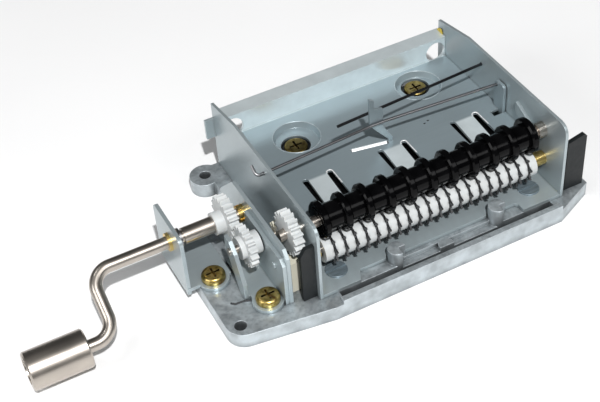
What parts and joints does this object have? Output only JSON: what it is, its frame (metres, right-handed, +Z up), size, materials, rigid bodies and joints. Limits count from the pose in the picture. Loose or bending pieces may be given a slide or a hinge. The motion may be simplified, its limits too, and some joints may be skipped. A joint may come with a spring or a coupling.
{
  "type": "paper strip music movement",
  "caption": "Hand-cranked music movement for punched paper strips: a geared crank turns a ribbed rubber roller over star wheels and a steel comb on a cast base.",
  "frame": {"origin": "underside of the base, straight below the middle of the star wheel axle", "axes": "+X along the shafts away from the crank, +Y from the roller to the rear lip, +Z up"},
  "size_m": [0.1525, 0.0656, 0.0315],
  "materials": {
    "cast_base": "die-cast, satin",
    "zinc_sheet": "zinc plated, satin",
    "comb_steel": "ground",
    "wire_steel": "drawn, dark",
    "nickel": "nickel plated, polished",
    "brass": "turned",
    "yellow_screw": "yellow passivated",
    "slot_screw": "zinc plated",
    "nylon": "moulded, white",
    "cream_plastic": "moulded, cream",
    "rubber": "black, satin",
    "dark_plastic": "moulded, dark grey",
    "star_steel": "blanked"
  },
  "bodies": {
    "frame": {"base_plate": "cast_base", "chassis": "zinc_sheet", "paper_table": "zinc_sheet", "comb": "comb_steel", "comb_screw_left": "yellow_screw", "comb_screw_right": "yellow_screw", "floor_screw_left": "slot_screw", "floor_screw_right": "slot_screw", "wire_long": "wire_steel", "wire_short": "wire_steel", "crank_bracket": "zinc_sheet", "crank_bracket_screw": "yellow_screw", "gear_bracket": "zinc_sheet", "gear_bracket_screw": "yellow_screw", "bearing_plate": "zinc_sheet", "gear_block": "cream_plastic", "crank_bush": "brass", "inner_bush": "brass", "stop_left": "dark_plastic", "stop_right": "dark_plastic", "drum_axle": "nickel", "drum_spacers": "nylon", "drum_bush_left": "brass", "drum_bush_right": "brass", "roller_bush_left": "nickel", "roller_bush_right": "nickel"},
    "crank": {"crank_handle": "nickel", "crank_sleeve": "nickel", "crank_clip": "wire_steel", "crank_gear": "nylon"},
    "knob": {"crank_knob": "nickel"},
    "idler": {"idler_gear": "nylon", "idler_pinion": "cream_plastic", "idler_axle": "nickel"},
    "roller": {"roller_shaft": "nickel", "rubber_roller": "rubber", "roller_gear": "nylon"},
    "star_01": {"star_wheel_01": "star_steel"},
    "star_02": {"star_wheel_02": "star_steel"},
    "star_03": {"star_wheel_03": "star_steel"},
    "star_04": {"star_wheel_04": "star_steel"},
    "star_05": {"star_wheel_05": "star_steel"},
    "star_06": {"star_wheel_06": "star_steel"},
    "star_07": {"star_wheel_07": "star_steel"},
    "star_08": {"star_wheel_08": "star_steel"},
    "star_09": {"star_wheel_09": "star_steel"},
    "star_10": {"star_wheel_10": "star_steel"},
    "star_11": {"star_wheel_11": "star_steel"},
    "star_12": {"star_wheel_12": "star_steel"},
    "star_13": {"star_wheel_13": "star_steel"},
    "star_14": {"star_wheel_14": "star_steel"},
    "star_15": {"star_wheel_15": "star_steel"},
    "star_16": {"star_wheel_16": "star_steel"},
    "star_17": {"star_wheel_17": "star_steel"},
    "star_18": {"star_wheel_18": "star_steel"},
    "star_19": {"star_wheel_19": "star_steel"},
    "star_20": {"star_wheel_20": "star_steel"}
  },
  "joints": [
    {"name": "crank_turn", "type": "hinge", "parent": "frame", "child": "crank", "pos_m": [-0.05, 0.0183, 0.01555], "axis": [1, 0, 0], "continuous": true},
    {"name": "knob_spin", "type": "hinge", "parent": "crank", "child": "knob", "pos_m": [-0.099, 0.00431, 0.00681], "axis": [1, 0, 0], "continuous": true},
    {"name": "idler_turn", "type": "hinge", "parent": "frame", "child": "idler", "pos_m": [-0.045, 0.0072, 0.01565], "axis": [1, 0, 0], "continuous": true},
    {"name": "roller_turn", "type": "hinge", "parent": "frame", "child": "roller", "pos_m": [0, 0.00095, 0.0208], "axis": [1, 0, 0], "continuous": true},
    {"name": "star_01_spin", "type": "hinge", "parent": "frame", "child": "star_01", "pos_m": [-0.0285, 0, 0.0119], "axis": [1, 0, 0], "continuous": true},
    {"name": "star_02_spin", "type": "hinge", "parent": "frame", "child": "star_02", "pos_m": [-0.0255, 0, 0.0119], "axis": [1, 0, 0], "continuous": true},
    {"name": "star_03_spin", "type": "hinge", "parent": "frame", "child": "star_03", "pos_m": [-0.0225, 0, 0.0119], "axis": [1, 0, 0], "continuous": true},
    {"name": "star_04_spin", "type": "hinge", "parent": "frame", "child": "star_04", "pos_m": [-0.0195, 0, 0.0119], "axis": [1, 0, 0], "continuous": true},
    {"name": "star_05_spin", "type": "hinge", "parent": "frame", "child": "star_05", "pos_m": [-0.0165, 0, 0.0119], "axis": [1, 0, 0], "continuous": true},
    {"name": "star_06_spin", "type": "hinge", "parent": "frame", "child": "star_06", "pos_m": [-0.0135, 0, 0.0119], "axis": [1, 0, 0], "continuous": true},
    {"name": "star_07_spin", "type": "hinge", "parent": "frame", "child": "star_07", "pos_m": [-0.0105, 0, 0.0119], "axis": [1, 0, 0], "continuous": true},
    {"name": "star_08_spin", "type": "hinge", "parent": "frame", "child": "star_08", "pos_m": [-0.0075, 0, 0.0119], "axis": [1, 0, 0], "continuous": true},
    {"name": "star_09_spin", "type": "hinge", "parent": "frame", "child": "star_09", "pos_m": [-0.0045, 0, 0.0119], "axis": [1, 0, 0], "continuous": true},
    {"name": "star_10_spin", "type": "hinge", "parent": "frame", "child": "star_10", "pos_m": [-0.0015, 0, 0.0119], "axis": [1, 0, 0], "continuous": true},
    {"name": "star_11_spin", "type": "hinge", "parent": "frame", "child": "star_11", "pos_m": [0.0015, 0, 0.0119], "axis": [1, 0, 0], "continuous": true},
    {"name": "star_12_spin", "type": "hinge", "parent": "frame", "child": "star_12", "pos_m": [0.0045, 0, 0.0119], "axis": [1, 0, 0], "continuous": true},
    {"name": "star_13_spin", "type": "hinge", "parent": "frame", "child": "star_13", "pos_m": [0.0075, 0, 0.0119], "axis": [1, 0, 0], "continuous": true},
    {"name": "star_14_spin", "type": "hinge", "parent": "frame", "child": "star_14", "pos_m": [0.0105, 0, 0.0119], "axis": [1, 0, 0], "continuous": true},
    {"name": "star_15_spin", "type": "hinge", "parent": "frame", "child": "star_15", "pos_m": [0.0135, 0, 0.0119], "axis": [1, 0, 0], "continuous": true},
    {"name": "star_16_spin", "type": "hinge", "parent": "frame", "child": "star_16", "pos_m": [0.0165, 0, 0.0119], "axis": [1, 0, 0], "continuous": true},
    {"name": "star_17_spin", "type": "hinge", "parent": "frame", "child": "star_17", "pos_m": [0.0195, 0, 0.0119], "axis": [1, 0, 0], "continuous": true},
    {"name": "star_18_spin", "type": "hinge", "parent": "frame", "child": "star_18", "pos_m": [0.0225, 0, 0.0119], "axis": [1, 0, 0], "continuous": true},
    {"name": "star_19_spin", "type": "hinge", "parent": "frame", "child": "star_19", "pos_m": [0.0255, 0, 0.0119], "axis": [1, 0, 0], "continuous": true},
    {"name": "star_20_spin", "type": "hinge", "parent": "frame", "child": "star_20", "pos_m": [0.0285, 0, 0.0119], "axis": [1, 0, 0], "continuous": true}
  ],
  "couplings": [
    {"joint": "idler_turn", "follows": "crank_turn", "ratio": -1.1765},
    {"joint": "roller_turn", "follows": "crank_turn", "ratio": 0.58823}
  ]
}
